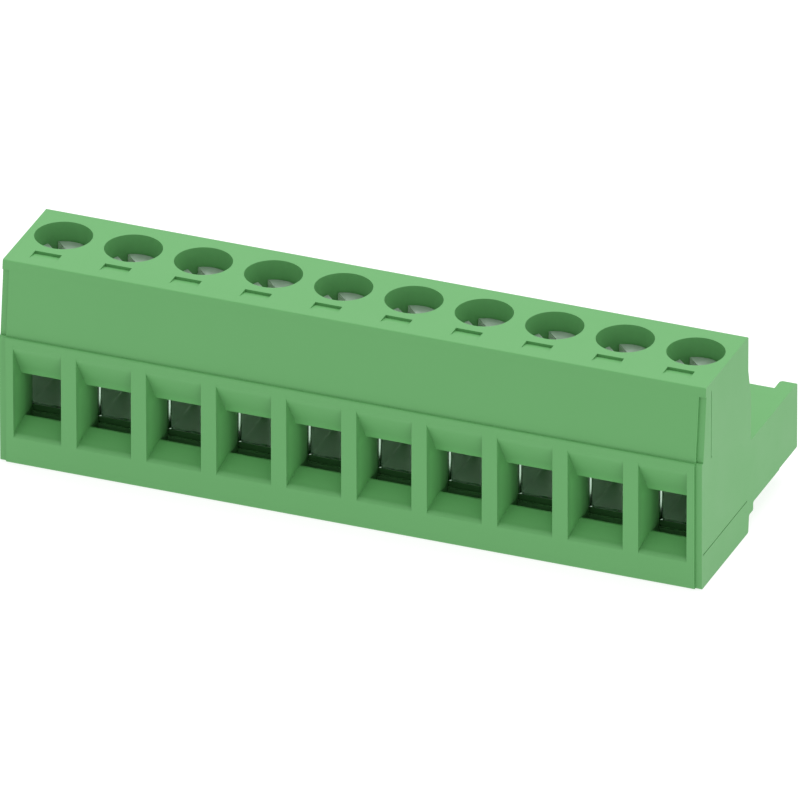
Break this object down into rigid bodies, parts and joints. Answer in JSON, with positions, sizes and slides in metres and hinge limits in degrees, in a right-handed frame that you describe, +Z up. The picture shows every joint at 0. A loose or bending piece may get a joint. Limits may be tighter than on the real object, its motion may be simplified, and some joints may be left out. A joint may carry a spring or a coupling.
{
  "type": "pluggable terminal block",
  "caption": "Green pluggable screw terminal block with a sloping wire face of square funnels, slotted clamp screws in a row of round holes, and a mating nose behind.",
  "frame": {"origin": "centre of the overall box on the plane that the block stands on", "axes": "+X along the row of poles, pole 1 at -X; +Y from the wire side to the mating side; +Z up, along the clamp screws"},
  "size_m": [0.0508, 0.0182, 0.015],
  "materials": {
    "green_polyamide": "smooth moulded polyamide, satin",
    "zinc_screw": "zinc-plated steel, turned",
    "zinc_sheet": "zinc-plated steel sheet, stamped and bent",
    "tinned_copper": "tin-plated copper alloy strip, stamped and bent"
  },
  "bodies": {
    "block": {"housing": "green_polyamide", "front_cover": "green_polyamide", "contact_1": "tinned_copper", "contact_2": "tinned_copper", "contact_3": "tinned_copper", "contact_4": "tinned_copper", "contact_5": "tinned_copper", "contact_6": "tinned_copper", "contact_7": "tinned_copper", "contact_8": "tinned_copper", "contact_9": "tinned_copper", "contact_10": "tinned_copper"},
    "screw_1": {"screw_1": "zinc_screw"},
    "cage_1": {"cage_1": "zinc_sheet"},
    "screw_2": {"screw_2": "zinc_screw"},
    "cage_2": {"cage_2": "zinc_sheet"},
    "screw_3": {"screw_3": "zinc_screw"},
    "cage_3": {"cage_3": "zinc_sheet"},
    "screw_4": {"screw_4": "zinc_screw"},
    "cage_4": {"cage_4": "zinc_sheet"},
    "screw_5": {"screw_5": "zinc_screw"},
    "cage_5": {"cage_5": "zinc_sheet"},
    "screw_6": {"screw_6": "zinc_screw"},
    "cage_6": {"cage_6": "zinc_sheet"},
    "screw_7": {"screw_7": "zinc_screw"},
    "cage_7": {"cage_7": "zinc_sheet"},
    "screw_8": {"screw_8": "zinc_screw"},
    "cage_8": {"cage_8": "zinc_sheet"},
    "screw_9": {"screw_9": "zinc_screw"},
    "cage_9": {"cage_9": "zinc_sheet"},
    "screw_10": {"screw_10": "zinc_screw"},
    "cage_10": {"cage_10": "zinc_sheet"}
  },
  "joints": [
    {"name": "screw_turn_1", "type": "hinge", "parent": "block", "child": "screw_1", "pos_m": [-0.02286, -0.0035, 0.0136], "axis": [0, 0, -1], "range_deg": [0, 2462.4]},
    {"name": "cage_lift_1", "type": "slide", "parent": "block", "child": "cage_1", "axis": [0, 0, 1], "range_m": [0, 0.00342]},
    {"name": "screw_turn_2", "type": "hinge", "parent": "block", "child": "screw_2", "pos_m": [-0.01778, -0.0035, 0.0136], "axis": [0, 0, -1], "range_deg": [0, 2462.4]},
    {"name": "cage_lift_2", "type": "slide", "parent": "block", "child": "cage_2", "axis": [0, 0, 1], "range_m": [0, 0.00342]},
    {"name": "screw_turn_3", "type": "hinge", "parent": "block", "child": "screw_3", "pos_m": [-0.0127, -0.0035, 0.0136], "axis": [0, 0, -1], "range_deg": [0, 2462.4]},
    {"name": "cage_lift_3", "type": "slide", "parent": "block", "child": "cage_3", "axis": [0, 0, 1], "range_m": [0, 0.00342]},
    {"name": "screw_turn_4", "type": "hinge", "parent": "block", "child": "screw_4", "pos_m": [-0.00762, -0.0035, 0.0136], "axis": [0, 0, -1], "range_deg": [0, 2462.4]},
    {"name": "cage_lift_4", "type": "slide", "parent": "block", "child": "cage_4", "axis": [0, 0, 1], "range_m": [0, 0.00342]},
    {"name": "screw_turn_5", "type": "hinge", "parent": "block", "child": "screw_5", "pos_m": [-0.00254, -0.0035, 0.0136], "axis": [0, 0, -1], "range_deg": [0, 2462.4]},
    {"name": "cage_lift_5", "type": "slide", "parent": "block", "child": "cage_5", "axis": [0, 0, 1], "range_m": [0, 0.00342]},
    {"name": "screw_turn_6", "type": "hinge", "parent": "block", "child": "screw_6", "pos_m": [0.00254, -0.0035, 0.0136], "axis": [0, 0, -1], "range_deg": [0, 2462.4]},
    {"name": "cage_lift_6", "type": "slide", "parent": "block", "child": "cage_6", "axis": [0, 0, 1], "range_m": [0, 0.00342]},
    {"name": "screw_turn_7", "type": "hinge", "parent": "block", "child": "screw_7", "pos_m": [0.00762, -0.0035, 0.0136], "axis": [0, 0, -1], "range_deg": [0, 2462.4]},
    {"name": "cage_lift_7", "type": "slide", "parent": "block", "child": "cage_7", "axis": [0, 0, 1], "range_m": [0, 0.00342]},
    {"name": "screw_turn_8", "type": "hinge", "parent": "block", "child": "screw_8", "pos_m": [0.0127, -0.0035, 0.0136], "axis": [0, 0, -1], "range_deg": [0, 2462.4]},
    {"name": "cage_lift_8", "type": "slide", "parent": "block", "child": "cage_8", "axis": [0, 0, 1], "range_m": [0, 0.00342]},
    {"name": "screw_turn_9", "type": "hinge", "parent": "block", "child": "screw_9", "pos_m": [0.01778, -0.0035, 0.0136], "axis": [0, 0, -1], "range_deg": [0, 2462.4]},
    {"name": "cage_lift_9", "type": "slide", "parent": "block", "child": "cage_9", "axis": [0, 0, 1], "range_m": [0, 0.00342]},
    {"name": "screw_turn_10", "type": "hinge", "parent": "block", "child": "screw_10", "pos_m": [0.02286, -0.0035, 0.0136], "axis": [0, 0, -1], "range_deg": [0, 2462.4]},
    {"name": "cage_lift_10", "type": "slide", "parent": "block", "child": "cage_10", "axis": [0, 0, 1], "range_m": [0, 0.00342]}
  ],
  "couplings": [
    {"joint": "screw_turn_1", "follows": "cage_lift_1", "rad_per_m": 12566},
    {"joint": "screw_turn_2", "follows": "cage_lift_2", "rad_per_m": 12566},
    {"joint": "screw_turn_3", "follows": "cage_lift_3", "rad_per_m": 12566},
    {"joint": "screw_turn_4", "follows": "cage_lift_4", "rad_per_m": 12566},
    {"joint": "screw_turn_5", "follows": "cage_lift_5", "rad_per_m": 12566},
    {"joint": "screw_turn_6", "follows": "cage_lift_6", "rad_per_m": 12566},
    {"joint": "screw_turn_7", "follows": "cage_lift_7", "rad_per_m": 12566},
    {"joint": "screw_turn_8", "follows": "cage_lift_8", "rad_per_m": 12566},
    {"joint": "screw_turn_9", "follows": "cage_lift_9", "rad_per_m": 12566},
    {"joint": "screw_turn_10", "follows": "cage_lift_10", "rad_per_m": 12566}
  ]
}
